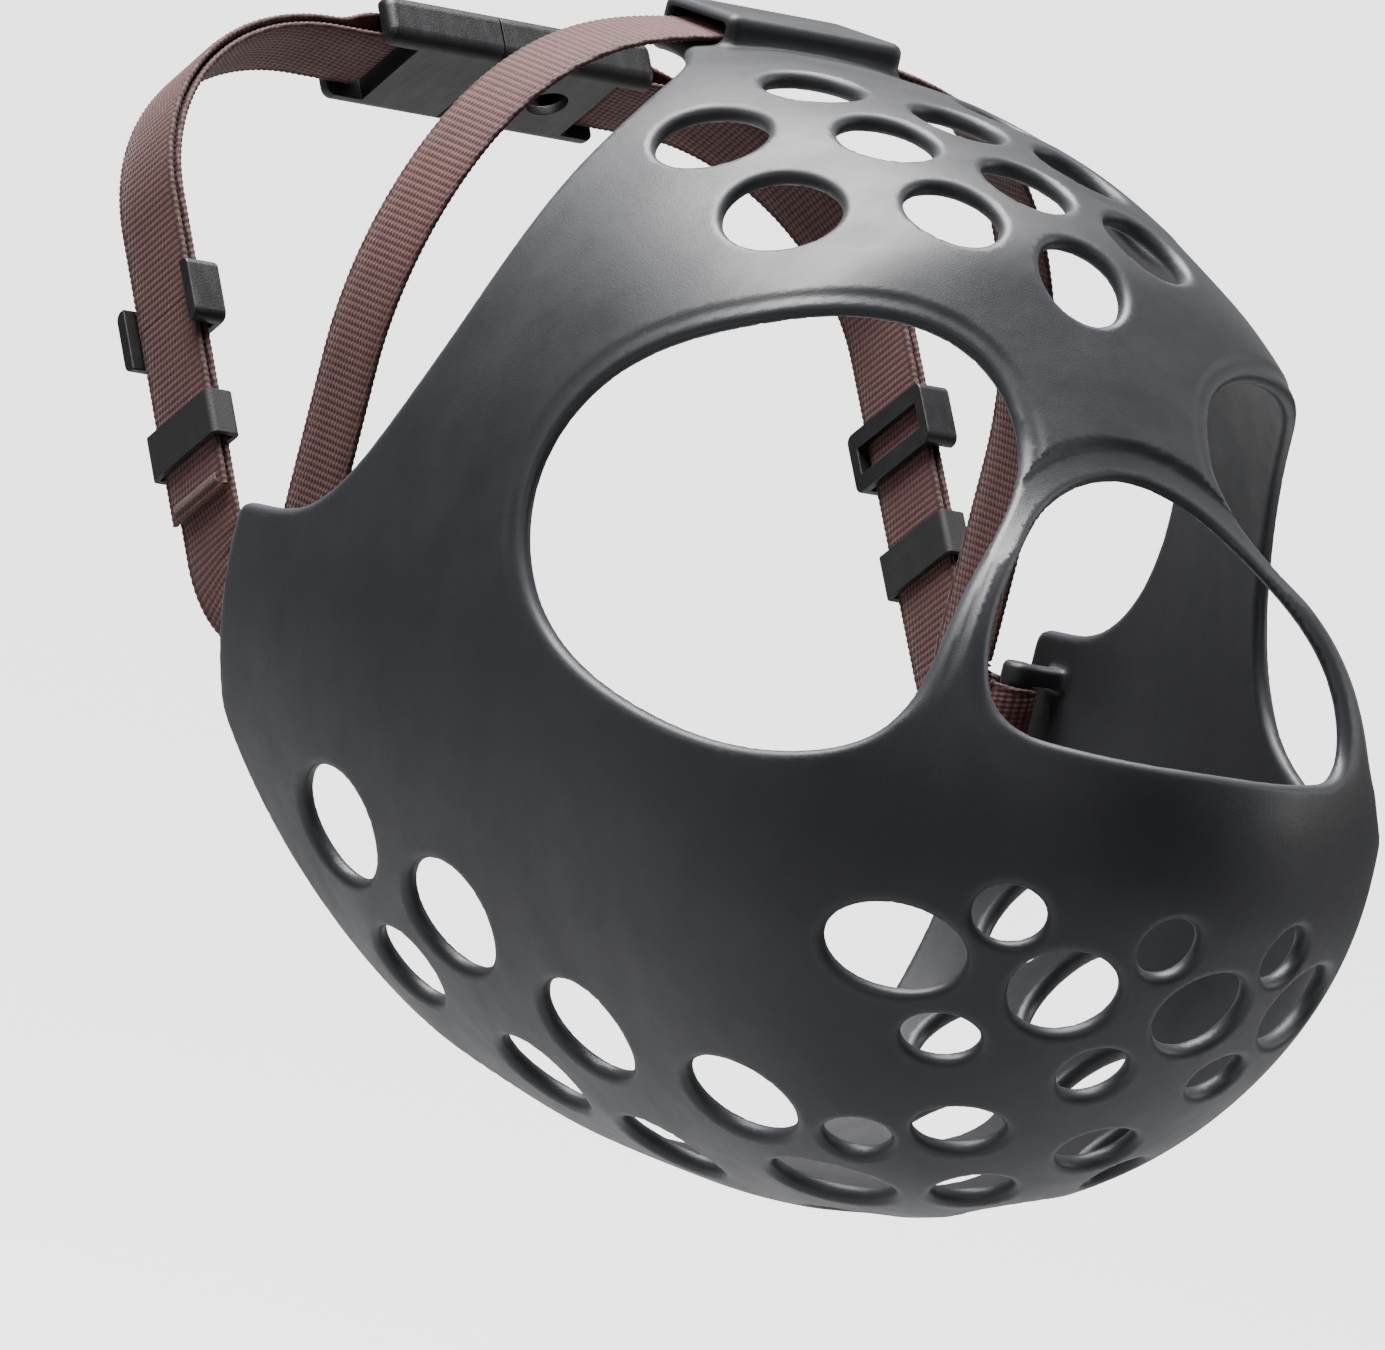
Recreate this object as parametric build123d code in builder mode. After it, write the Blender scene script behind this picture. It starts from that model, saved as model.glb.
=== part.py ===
from build123d import *

import os
from math import cos, radians, sin

# Short-snout basket muzzle: a one-piece moulded basket with three belt loops, and one
# webbing harness that closes at the nape with a side-release buckle.
#
# Frame: +X to the wearer's left, nose towards -Y, +Z up as worn. The origin is the middle
# of the head cavity, level with the eyes' lower rim.

os.makedirs("parts", exist_ok=True)

# ---------------------------------------------------------------- driving dimensions (mm)
WALL = 4.0  # moulded wall
# stations along the depth: y, half width, height of the widest line, top, bottom
STATIONS = [
    (-105, 13, -9, 4, -19),
    (-100, 28, -10, 18, -34),
    (-90, 47, -12, 35, -53),
    (-75, 66, -12, 47, -72),
    (-60, 77, -10, 54, -86),
    (-40, 85, -5, 76, -95),
    (-20, 90, 0, 98, -100),
    (0, 93, 0, 107, -103),
    (30, 98, 0, 114, -104),
    (60, 101.5, 0, 117, -104),
    (106, 103.5, 0, 116, -97),
]
CHEEK_REAR, TAB_REAR = 98.0, 106.0  # rearmost rims, at the cheeks and at the crown tab

# webbing and the loops it runs through
WEB_W, WEB_T = 20.0, 1.6
SLIP = 0.5  # clearance between the webbing and what it passes
BAR_R = 3.0  # cheek loop bars
CHEEK_X, CHEEK_Y, CHEEK_Z = 88.0, 86.0, -14.0  # cheek bar centre
OUTER_X = CHEEK_X + BAR_R + SLIP + WEB_T / 2  # leg outside the bar, on to the neck
INNER_X = CHEEK_X - BAR_R - SLIP - WEB_T / 2  # leg inside the bar, up to the crown
TUNNEL_X, TUNNEL_Y = 44.0, 26.0  # crown tunnel, across and along
TUNNEL_MID = TAB_REAR - TUNNEL_Y / 2
TUNNEL_TOP, TUNNEL_ROOF = 123.2, 2.9
WEB_TOP = 118.3  # height of the webbing's mid-line under the tunnel's roof

# the planes the webbing lies in behind the ears
CROWN_ELBOW_R, CROWN_TILT = 14.0, 3.4  # degrees back from the vertical
NECK_ELBOW_R, NECK_TILT = 25.0, 50.0  # degrees up from the horizontal
NECK_START = 100.0  # y where the neck leg begins to turn up
NECK_SIDE, NECK_CORNER = 76.0, 48.0  # straight side run and corner radius
LAYER = WEB_T + 0.4  # pitch of two webbing layers lying together
TAIL_END = 8.0  # loose end, measured along the side run

# side-release buckle, its length across the nape
BUCKLE_W, BUCKLE_T = 29.0, 11.0
BAR_X, BAR_L, BAR_T = 31.0, 3.0, 2.6  # webbing bars each side of the middle
MOUTH, HOUSING_END = -5.0, 34.0
WALL_B = 2.1  # housing wall
ARM_ROOT, ARM_N, ARM_T = -7.0, 9.1, 3.2
ARM_TIP, HEAD = 19.0, (9.6, 16.4)

# slides on the doubled webbing of the side run
GLIDE_AT, GLIDE_L, GLIDE_W, GLIDE_BAR = 52.0, 14.0, 27.0, 1.8
KEEPER_AT, KEEPER_L, KEEPER_T = 24.0, 10.0, 1.3

# ------------------------------------------------------------------ moulded basket (shell)
def lofted(inset):
    """The basket's form as one solid, every station drawn in by the inset."""
    with BuildPart() as form:
        for y, half, mid, top, bottom in STATIONS:
            front = inset * max(0.0, -y) / 106  # the front face moves back by the wall
            with BuildSketch(Plane.XZ.offset(-y - front)):
                with BuildLine():
                    EllipticalCenterArc((0, mid), half - inset, top - mid - inset, 0, arc_size=180)
                    EllipticalCenterArc((0, mid), half - inset, mid - bottom - inset, 180, arc_size=180)
                make_face()
        loft()
    return form.part


outside = lofted(0)
inside = lofted(WALL)

# side view of what is kept: crown tab, sweep round the ear, cheek lug, underside rim
with BuildPart() as trim:
    with BuildSketch(Plane.YZ):
        with BuildLine():
            rim = Spline(
                (TAB_REAR, 108), (84, 108), (66, 96), (51, 78), (46, 52), (54, 27), (74, 11),
                (CHEEK_REAR, 7),
                tangents=((-1, 0), (1, -0.15)),
            )
            Line(rim @ 1, (CHEEK_REAR, -37))
            under = Spline((CHEEK_REAR, -37), (84, -51), (62, -74), (40, -94), (27, -112))
            Polyline(under @ 1, (-130, -112), (-130, 135), (TAB_REAR, 135), rim @ 0)
        make_face()
    extrude(amount=130, both=True)

EYE_AZIMUTH = radians(40)
eye_plane = Plane(
    origin=(0, 0, 0),
    x_dir=(cos(EYE_AZIMUTH), -sin(EYE_AZIMUTH), 0),
    z_dir=(-sin(EYE_AZIMUTH), -cos(EYE_AZIMUTH), 0),
)
with BuildPart() as eye_window:
    with BuildSketch(eye_plane.offset(25)):
        with BuildLine():
            Spline(
                (-18, 79), (2, 74), (14, 57), (11, 35), (3, 6), (-14, -3), (-45, -4),
                (-69, 7), (-77, 29), (-68, 54), (-44, 72),
                periodic=True,
            )
        make_face()
    extrude(amount=130)

with BuildPart() as nose_window:
    with BuildSketch(Plane.XZ.offset(25)):
        with BuildLine():
            Spline(
                (0, 58), (11, 55), (20, 47.5), (32, 37.5), (41, 27), (44.5, 18.5), (40, 12),
                (30, 10.2), (0, 10),
                tangents=((1, 0), (-1, 0)),
            )
            mirror(about=Plane.YZ)
        make_face()
    extrude(amount=110)

# vent holes: x, y, z of the centre, then width and height; those off the centre line are
# mirrored
VENTS = [
    (24, 48, 114, 20, 20), (24, 19, 109, 20, 20), (24, -9, 100, 20, 20),  # forehead
    (51, 38, 99, 23, 23), (52, 7, 90, 24, 24),
    (0, 30, 114, 19, 19), (0, 2, 107.5, 19, 19), (0, -25, 94, 20, 20),
    (50, -83, -36, 28, 18.5), (17, -96.5, -38, 23, 19.5),  # front band
    (34, -95.5, -24, 15, 12), (34, -83, -52, 16, 11.5),
    (0, -103.5, -25, 13.5, 13), (0, -89, -54, 15, 14),
    (17, -73, -71, 19, 14), (0, -60, -86, 17, 15), (32, -61, -78, 13.5, 13),  # chin
    (50, -44, -77, 24, 23), (22, -43, -91, 25, 21), (0, -22, -100, 19, 19),
    (34, -4, -95, 23, 23), (64, -8, -73, 24, 24),  # underside and cheeks
    (51, 21, -88, 22, 22), (80, 25, -60, 26, 25), (89, 58, -50, 25, 25), (70, 49, -75, 19, 19),
]
skins = outside.faces().filter_by(GeomType.PLANE, reverse=True)


def vent(x, y, z, width, height):
    """A cutter for one vent, square to the wall at its centre."""
    skin = min(skins, key=lambda face: face.distance_to(Vertex(x, y, z)))
    normal = skin.normal_at((x, y, z))
    across = Vector(0, 0, 1).cross(normal) if abs(normal.Z) < 0.93 else Vector(1, 0, 0)
    with BuildPart() as cutter:
        with BuildSketch(Plane(origin=(x, y, z), x_dir=across, z_dir=normal)):
            Ellipse(width / 2, height / 2)
        extrude(amount=12, both=True)
    return cutter.part


# cheek loops: an upright bar inside each cheek, held by a post above and below the webbing
POST = BAR_R + 1
with BuildPart() as cheek_loop:
    with Locations((CHEEK_X, CHEEK_Y, CHEEK_Z)):
        Cylinder(BAR_R, WEB_W + 2 * SLIP + 2 * POST)
        for end in (1, -1):
            with Locations((8 - BAR_R, 0, end * (WEB_W + 2 * SLIP + POST) / 2)):
                Box(16, 2 * BAR_R, POST)
    add(outside, mode=Mode.INTERSECT)

# crown tunnel: a raised box on the tab, open left and right for the webbing
with BuildPart() as tunnel:
    with Locations((0, TUNNEL_MID, TUNNEL_TOP)):
        Box(TUNNEL_X, TUNNEL_Y, 18, align=(Align.CENTER, Align.CENTER, Align.MAX))
    fillet(tunnel.edges().filter_by(Axis.Z), 3)
    fillet(tunnel.faces().sort_by(Axis.Z)[-1].edges(), 1.2)
    with Locations((0, TUNNEL_MID, TUNNEL_TOP - TUNNEL_ROOF)):
        Box(
            TUNNEL_X + 10, WEB_W + 2 * SLIP, 30,
            align=(Align.CENTER, Align.CENTER, Align.MAX), mode=Mode.SUBTRACT,
        )
    add(inside, mode=Mode.SUBTRACT)

with BuildPart() as shell:
    add(outside)
    add(inside, mode=Mode.SUBTRACT)
    add(trim.part, mode=Mode.INTERSECT)
    add(eye_window.part, mode=Mode.SUBTRACT)
    mirror(eye_window.part, about=Plane.YZ, mode=Mode.SUBTRACT)
    add(nose_window.part, mode=Mode.SUBTRACT)
    for x, y, z, width, height in VENTS:
        for side in (1, -1) if x else (1,):
            add(vent(side * x, y, z, width, height), mode=Mode.SUBTRACT)
    add(cheek_loop.part)
    mirror(cheek_loop.part, about=Plane.YZ)
    add(tunnel.part)

# ----------------------------------------------------------------------- webbing harness
# one length: buckle, left side run, round the cheek bar, over the crown, and back down
crown_tilt, neck_tilt = radians(CROWN_TILT), radians(NECK_TILT)
crown_foot = (
    INNER_X,
    CHEEK_Y + CROWN_ELBOW_R * cos(crown_tilt),
    CHEEK_Z + CROWN_ELBOW_R * (1 + sin(crown_tilt)),
)
crown_plane = Plane(
    origin=(0, crown_foot[1], crown_foot[2]),
    x_dir=(1, 0, 0),
    z_dir=(0, -cos(crown_tilt), -sin(crown_tilt)),
)
neck_plane = Plane(
    origin=(
        0,
        NECK_START + NECK_ELBOW_R * sin(neck_tilt),
        CHEEK_Z + NECK_ELBOW_R * (1 - cos(neck_tilt)),
    ),
    x_dir=(1, 0, 0),
    z_dir=(0, -sin(neck_tilt), cos(neck_tilt)),
)
crown_rise = (WEB_TOP - crown_foot[2]) / cos(crown_tilt)
nape = NECK_SIDE + NECK_CORNER  # distance of the back run along the neck plane
corner_x = OUTER_X - NECK_CORNER
bar_in = BAR_X - BAR_L / 2
wrap = BAR_T / 2 + 0.3 + WEB_T / 2  # mid-line radius of the wrap round a buckle bar


def elbow(x, y, radius, start, sweep):
    """A flat edgewise turn of the webbing in the upright plane at x."""
    with BuildPart() as turn:
        with BuildSketch(Plane.YZ.offset(x - WEB_T / 2)):
            with BuildLine():
                middle = (y, CHEEK_Z + radius)
                inner = CenterArc(middle, radius - WEB_W / 2, start, sweep)
                outer = CenterArc(middle, radius + WEB_W / 2, start, sweep)
                Line(inner @ 0, outer @ 0)
                Line(inner @ 1, outer @ 1)
            make_face()
        extrude(amount=WEB_T)
    return turn.part


with BuildPart() as crown_band:
    with BuildSketch(crown_plane):
        with BuildLine():
            Line((INNER_X, 0), (INNER_X, 38))
            Spline(
                (INNER_X, 38), (70, 79), (40, 108), (0, crown_rise),
                tangents=((0, 1), (-1, 0)),
            )
            mirror(about=Plane.YZ)
        trace(line_width=WEB_T)
    extrude(amount=WEB_W / 2, both=True)

with BuildPart() as cheek_wrap:
    with BuildSketch(Plane.XY.offset(CHEEK_Z)):
        with BuildLine():
            Line((OUTER_X, NECK_START), (OUTER_X, CHEEK_Y))
            CenterArc((CHEEK_X, CHEEK_Y), OUTER_X - CHEEK_X, 0, -180)
        trace(line_width=WEB_T)
    extrude(amount=WEB_W / 2, both=True)

with BuildPart() as neck_band:
    with BuildSketch(neck_plane):
        with BuildLine():
            Line((OUTER_X, 0), (OUTER_X, NECK_SIDE))
            CenterArc((corner_x, NECK_SIDE), NECK_CORNER, 0, 90)
            Line((corner_x, nape), (bar_in, nape))
            CenterArc((bar_in, nape + wrap), wrap, -90, -180)
            Line((bar_in, nape + 2 * wrap), (bar_in + 4, nape + 2 * wrap))
            Spline(
                (bar_in + 4, nape + 2 * wrap), (corner_x, nape + LAYER),
                tangents=((1, 0), (1, 0)),
            )
            CenterArc((corner_x, NECK_SIDE), NECK_CORNER + LAYER, 90, -90)
            Line((OUTER_X + LAYER, NECK_SIDE), (OUTER_X + LAYER, TAIL_END))
        trace(line_width=WEB_T)
    extrude(amount=WEB_W / 2, both=True)

with BuildPart() as webbing:
    add(crown_band.part)
    for piece in (
        elbow(INNER_X, CHEEK_Y, CROWN_ELBOW_R, -90, 90 + CROWN_TILT),
        elbow(OUTER_X, NECK_START, NECK_ELBOW_R, -90, NECK_TILT),
        cheek_wrap.part,
        neck_band.part,
    ):
        add(piece)
        mirror(piece, about=Plane.YZ)

# thread bars that stop the loose ends pulling out of the adjusters
with BuildPart() as tail_stitching_left:
    with BuildSketch(neck_plane.offset(-WEB_W / 2 + 2)):
        with Locations((OUTER_X + LAYER + WEB_T / 2 + 0.25, TAIL_END + 2.5)):
            Rectangle(0.5, 2.5)
    extrude(amount=WEB_W - 4)

# --------------------------------------------------------------------- side-release buckle
# drawn in the neck plane: x across the nape, y out from the neck, z across the webbing
buckle_plane = neck_plane.shift_origin(neck_plane.from_local_coords((0, nape + wrap, 0)))
slot_w = WEB_W + 1.4
bar_clear = bar_in - wrap - WEB_T / 2 - 0.8  # inner end of the opening round each bar


def webbing_end(side):
    """What both halves share: the opening the webbing wraps through, crossed by its bar."""
    with Locations((side * (bar_clear + 20), 0, 0)):
        Box(40, 40, slot_w, mode=Mode.SUBTRACT)
    with Locations((side * BAR_X, 0, 0)):
        Box(BAR_L, BAR_T, slot_w + 2)


with BuildPart() as buckle_housing:
    with Locations(((MOUTH + HOUSING_END) / 2, 0, 0)):
        Box(HOUSING_END - MOUTH, BUCKLE_T, BUCKLE_W)
    fillet(buckle_housing.edges().filter_by(Axis.X), 3)
    fillet(buckle_housing.edges().filter_by(Axis.Z).group_by(Axis.X)[-1], 2)
    webbing_end(1)
    cavity_w = BUCKLE_W - 2 * WALL_B
    with Locations((MOUTH, 0, 0)):
        Box(
            27, BUCKLE_T - 2 * WALL_B, cavity_w,
            align=(Align.MIN, Align.CENTER, Align.CENTER), mode=Mode.SUBTRACT,
        )
    with Locations((sum(HEAD) / 2, 0, 0)):
        Box(HEAD[1] - HEAD[0] + 1.2, 6, 40, mode=Mode.SUBTRACT)
    with Locations((HEAD[1] - 1.5, 0, 0)):
        Cylinder(4.5, 40, rotation=(90, 0, 0), mode=Mode.SUBTRACT)  # thumb window

with BuildPart() as buckle_clip:
    base_end = MOUTH - 0.4
    with Locations(((base_end - HOUSING_END) / 2, 0, 0)):
        Box(HOUSING_END + base_end, BUCKLE_T, BUCKLE_W)
    fillet(buckle_clip.edges().filter_by(Axis.X), 3)
    fillet(buckle_clip.edges().filter_by(Axis.Z).group_by(Axis.X)[0], 2)
    webbing_end(-1)
    with Locations((base_end - 1, 0, 0)):
        Box(20, 3.4, 7, align=(Align.MIN, Align.CENTER, Align.CENTER))  # centre tongue
    for side in (1, -1):
        with Locations((ARM_ROOT, 0, side * ARM_N)):
            Cylinder(ARM_T / 2 + 0.1, 5.6, rotation=(90, 0, 0), mode=Mode.SUBTRACT)
            Box(
                9, 5.6, ARM_T + 0.8,
                align=(Align.MIN, Align.CENTER, Align.CENTER), mode=Mode.SUBTRACT,
            )

with BuildPart() as clip_arm_upper:
    with BuildSketch(Plane.XZ):
        with BuildLine():
            Polyline(
                (ARM_ROOT, ARM_N - ARM_T / 2), (ARM_TIP, ARM_N - ARM_T / 2),
                (ARM_TIP, ARM_N + 0.6), (HEAD[1], cavity_w / 2 - 0.4), (HEAD[1], BUCKLE_W / 2 - 0.5),
                (HEAD[0], BUCKLE_W / 2 - 0.5), (HEAD[0], ARM_N + ARM_T / 2),
                (ARM_ROOT, ARM_N + ARM_T / 2),
            )
            CenterArc((ARM_ROOT, ARM_N), ARM_T / 2, 90, 180)
        make_face()
    extrude(amount=2.5, both=True)

# ---------------------------------------------------------- slides on the doubled webbing
# drawn in the neck plane: x across the two layers, y along the side run
stack_mid = OUTER_X + LAYER / 2
stack_t = LAYER + WEB_T + 0.6

with BuildPart() as adjuster_left:
    with Locations((stack_mid, GLIDE_AT, 0)):
        Box(stack_t + 2 * GLIDE_BAR, GLIDE_L, GLIDE_W)
    fillet(adjuster_left.edges().filter_by(Axis.X), 2)
    with Locations((stack_mid, GLIDE_AT, 0)):
        Box(stack_t, 40, WEB_W + 1.2, mode=Mode.SUBTRACT)
    with Locations((stack_mid - stack_t / 2, GLIDE_AT, 0)):
        Box(12, GLIDE_L - 8, WEB_W + 1.2, mode=Mode.SUBTRACT)  # two bars on the neck side
    for end in (1, -1):
        with Locations((stack_mid + stack_t / 2 + 2, GLIDE_AT + end * 6, 0)):
            Box(4, 7, WEB_W + 1.2, mode=Mode.SUBTRACT)  # one middle bar outside

with BuildPart() as keeper_left:
    with Locations((stack_mid, KEEPER_AT, 0)):
        Box(stack_t + 2 * KEEPER_T, KEEPER_L, WEB_W + 1 + 2 * KEEPER_T)
        fillet(keeper_left.edges().filter_by(Axis.Y), 1.4)
        Box(stack_t, 40, WEB_W + 1, mode=Mode.SUBTRACT)

# ------------------------------------------------------------------------------- placing
shell.part.label = "shell"
export_step(shell.part, "parts/shell.step")
webbing.part.label = "webbing"
export_step(webbing.part, "parts/webbing.step")

on_neck = {
    "adjuster_left": neck_plane.location * adjuster_left.part,
    "keeper_left": neck_plane.location * keeper_left.part,
    "tail_stitching_left": tail_stitching_left.part,
}
placed = {
    "buckle_housing": buckle_plane.location * buckle_housing.part,
    "buckle_clip": buckle_plane.location * buckle_clip.part,
    "clip_arm_upper": buckle_plane.location * clip_arm_upper.part,
    "clip_arm_lower": buckle_plane.location * mirror(clip_arm_upper.part, about=Plane.XY),
}
for name, part in on_neck.items():
    placed[name] = part
    placed[name.replace("left", "right")] = mirror(part, about=Plane.YZ)
for name, part in placed.items():
    part.label = name
    export_step(part, f"parts/{name}.step")
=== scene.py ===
import math

import bmesh
import bpy
import numpy as np
from mathutils import Matrix, Vector


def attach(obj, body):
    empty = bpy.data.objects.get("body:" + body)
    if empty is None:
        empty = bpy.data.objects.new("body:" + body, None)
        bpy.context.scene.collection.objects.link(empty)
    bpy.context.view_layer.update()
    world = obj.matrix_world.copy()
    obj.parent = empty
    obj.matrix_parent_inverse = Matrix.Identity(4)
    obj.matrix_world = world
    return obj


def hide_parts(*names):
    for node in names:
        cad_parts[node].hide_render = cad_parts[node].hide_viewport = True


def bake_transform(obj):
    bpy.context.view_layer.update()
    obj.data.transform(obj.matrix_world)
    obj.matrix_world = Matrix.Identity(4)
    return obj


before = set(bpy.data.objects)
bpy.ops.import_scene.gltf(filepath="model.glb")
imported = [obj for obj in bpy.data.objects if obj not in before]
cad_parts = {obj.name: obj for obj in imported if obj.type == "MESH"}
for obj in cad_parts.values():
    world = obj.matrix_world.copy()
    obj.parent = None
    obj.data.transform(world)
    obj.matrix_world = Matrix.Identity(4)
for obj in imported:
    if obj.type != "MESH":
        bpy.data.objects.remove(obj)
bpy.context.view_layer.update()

MM = 0.001
RIB = 1.5 * MM  # pitch of the webbing's ribs

# ------------------------------------------------------------------------------- camera
DISTANCE = 2.8
FIELD = 0.277  # width of the view at the object
BACK = Vector((-0.58517, -0.80296, 0.11327))
RIGHT = Vector((0.80132, -0.55116, 0.23261))
UP = Vector((-0.12434, 0.22689, 0.96595))
aim = RIGHT * -0.0431 + UP * 0.0064

eye = BACK * DISTANCE
back = (eye - aim).normalized()
right = (RIGHT - back * RIGHT.dot(back)).normalized()
up = back.cross(right)
cam = bpy.data.objects.new("camera", bpy.data.cameras.new("camera"))
bpy.context.scene.collection.objects.link(cam)
cam.matrix_world = Matrix((
    (right.x, up.x, back.x, eye.x),
    (right.y, up.y, back.y, eye.y),
    (right.z, up.z, back.z, eye.z),
    (0, 0, 0, 1),
))
cam.data.sensor_width = 36
cam.data.lens = 36 * DISTANCE / FIELD
cam.data.clip_start, cam.data.clip_end = 0.05, 100
bpy.context.scene.camera = cam


# ---------------------------------------------------------------------------- materials
def shader(name, colour, rough, **sockets):
    """A material, its node tree and its Principled shader."""
    mat = bpy.data.materials.new(name)
    mat.use_nodes = True
    tree = mat.node_tree
    bsdf = tree.nodes["Principled BSDF"]
    bsdf.inputs["Base Color"].default_value = (*colour, 1)
    bsdf.inputs["Roughness"].default_value = rough
    for key, value in sockets.items():
        bsdf.inputs[key.replace("_", " ")].default_value = value
    return mat, tree, bsdf


def node(tree, kind, links=(), **settings):
    """One node, its settings by attribute name or socket name, and its incoming links."""
    made = tree.nodes.new("ShaderNode" + kind)
    for key, value in settings.items():
        if hasattr(made, key):
            setattr(made, key, value)
        else:
            made.inputs[key].default_value = value
    for socket, source in links:
        tree.links.new(source, made.inputs[socket])
    return made


def coords(tree, which="Object"):
    return node(tree, "TexCoord").outputs[which]


def noise(tree, vector, scale, detail=4.0, rough=0.55):
    return node(tree, "TexNoise", [("Vector", vector)], Scale=scale, Detail=detail,
                Roughness=rough).outputs["Fac"]


def span(tree, source, low, high, a=0.3, b=0.7):
    """source, taken from a..b to low..high."""
    made = node(tree, "MapRange", [("Value", source)])
    for socket, value in zip(("From Min", "From Max", "To Min", "To Max"), (a, b, low, high)):
        made.inputs[socket].default_value = value
    return made.outputs["Result"]


def mix(tree, factor, a, b):
    """Colour a to colour b by factor; each colour is a socket or a triple."""
    made = node(tree, "Mix", data_type="RGBA")
    tree.links.new(factor, made.inputs[0])
    for socket, value in ((6, a), (7, b)):
        if isinstance(value, tuple):
            made.inputs[socket].default_value = (*value, 1)
        else:
            tree.links.new(value, made.inputs[socket])
    return made.outputs[2]


def bump(tree, height, depth, under=None):
    made = node(tree, "Bump", [("Height", height)], Strength=1.0, Distance=depth)
    if under is not None:
        tree.links.new(under, made.inputs["Normal"])
    return made.outputs["Normal"]


def silicone():
    """Dark moulded silicone: clouded, smeared, and paler along its rims, partly as wear and partly as
    a painted highlight.
    """
    mat, tree, bsdf = shader("silicone", (0.035, 0.036, 0.041), 0.45, Specular_IOR_Level=0.4,
                             Sheen_Weight=0.04, Sheen_Roughness=0.45)
    at = coords(tree)
    cloud = noise(tree, at, 38, 5)
    grain = noise(tree, at, 2400, 2)
    rim = node(tree, "Attribute", attribute_name="rim").outputs["Fac"]
    base = mix(tree, span(tree, cloud, 0, 1), (0.012, 0.0125, 0.015), (0.019, 0.0195, 0.023))
    # rims of the openings paler: partly wear, partly a painted highlight where light catches the
    # rounded edges
    worn_and_highlit = mix(tree, rim, base, (0.027, 0.028, 0.033))
    tree.links.new(worn_and_highlit, bsdf.inputs["Base Color"])
    smear = noise(tree, node(tree, "Mapping", [("Vector", at)], Scale=(40, 90, 60)).outputs[0],
                  1.0, 6, 0.7)
    tree.links.new(span(tree, smear, 0.39, 0.52), bsdf.inputs["Roughness"])
    soft = bump(tree, noise(tree, at, 90, 2), 0.00012)
    tree.links.new(bump(tree, grain, 0.000035, soft), bsdf.inputs["Normal"])
    return mat


def webbing_fabric():
    """Ribbed nylon: ribs across the width, warp yarns along it, from the piece's own UVs; the grooves
    between ribs are painted darker as shade.
    """
    mat, tree, bsdf = shader("webbing", (0.13, 0.045, 0.04), 0.72, Specular_IOR_Level=0.4,
                             Sheen_Weight=0.10, Sheen_Roughness=0.4)
    uv = coords(tree, "UV")
    at = coords(tree)
    split = node(tree, "SeparateXYZ", [("Vector", uv)])
    across, along = split.outputs[0], split.outputs[1]
    yarn = node(tree, "TexWave", [("Vector", node(
        tree, "Mapping", [("Vector", uv)], Scale=(1 / (0.9 * MM), 1 / (4.5 * MM), 1)).outputs[0])],
        bands_direction="DIAGONAL", Scale=0.5, Distortion=0.6, Detail=1.0)
    phase = node(tree, "Math", [(0, along)], operation="MULTIPLY")
    phase.inputs[1].default_value = 2 * math.pi / RIB
    rib = node(tree, "Math", [(0, phase.outputs[0])], operation="COSINE").outputs[0]
    groove = span(tree, rib, 1, 0, -1, 0.6)
    edge = node(tree, "Math", [(0, across)], operation="ABSOLUTE").outputs[0]
    selvedge = span(tree, edge, 0, 1, 8.3 * MM, 8.9 * MM)
    fuzz = noise(tree, at, 1500, 3)
    tone = mix(tree, span(tree, noise(tree, at, 60, 4), 0, 1), (0.066, 0.0185, 0.0155),
               (0.092, 0.028, 0.023))
    tone = mix(tree, span(tree, fuzz, 0, 0.55), tone, (0.12, 0.047, 0.039))
    # painted shade: darker in the grooves between the ribs
    groove_shaded = mix(tree, groove, tone, (0.028, 0.009, 0.008))
    dark = mix(tree, selvedge, groove_shaded, (0.040, 0.013, 0.0115))
    tree.links.new(dark, bsdf.inputs["Base Color"])
    tree.links.new(span(tree, fuzz, 0.62, 0.85), bsdf.inputs["Roughness"])
    first = bump(tree, yarn.outputs["Fac"], 0.00012)
    tree.links.new(bump(tree, fuzz, 0.00008, first), bsdf.inputs["Normal"])
    return mat


def moulded(name, colour, rough):
    """Spark-textured moulded plastic with scuffed patches."""
    mat, tree, bsdf = shader(name, colour, rough, Specular_IOR_Level=0.35)
    at = coords(tree)
    scuff = noise(tree, node(tree, "Mapping", [("Vector", at)], Scale=(300, 90, 90)).outputs[0],
                  1.0, 6, 0.75)
    light = tuple(c * 1.6 + 0.004 for c in colour)
    tree.links.new(mix(tree, span(tree, scuff, 0, 0.5, 0.52, 0.75), colour, light),
                   bsdf.inputs["Base Color"])
    tree.links.new(span(tree, scuff, rough - 0.07, rough + 0.12), bsdf.inputs["Roughness"])
    grain = node(tree, "TexVoronoi", [("Vector", at)], Scale=2600.0).outputs["Distance"]
    tree.links.new(bump(tree, grain, 0.00003), bsdf.inputs["Normal"])
    return mat


def thread():
    """Twisted polyester thread, with painted shade in the grooves of its twist."""
    mat, tree, bsdf = shader("thread", (0.11, 0.04, 0.036), 0.6, Sheen_Weight=0.3)
    at = coords(tree)
    twist = node(tree, "TexWave", [("Vector", at)], bands_direction="DIAGONAL", Scale=1300.0,
                 Distortion=0.5)
    # painted shade: darker bands in the grooves of the twist, lighter on its ridges
    tree.links.new(mix(tree, twist.outputs["Fac"], (0.040, 0.013, 0.012), (0.115, 0.042, 0.036)),
                   bsdf.inputs["Base Color"])
    tree.links.new(bump(tree, twist.outputs["Fac"], 0.00008), bsdf.inputs["Normal"])
    return mat


def new_piece(name, mesh, mat, body, slot, *nodes):
    """An object of the mesh that stands for the CAD nodes; body is None if it is blended."""
    made = bpy.data.objects.new(name, mesh)
    bpy.context.scene.collection.objects.link(made)
    mesh.materials.append(mat)
    if body:
        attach(made, body)
    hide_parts(*nodes)
    return made


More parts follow.
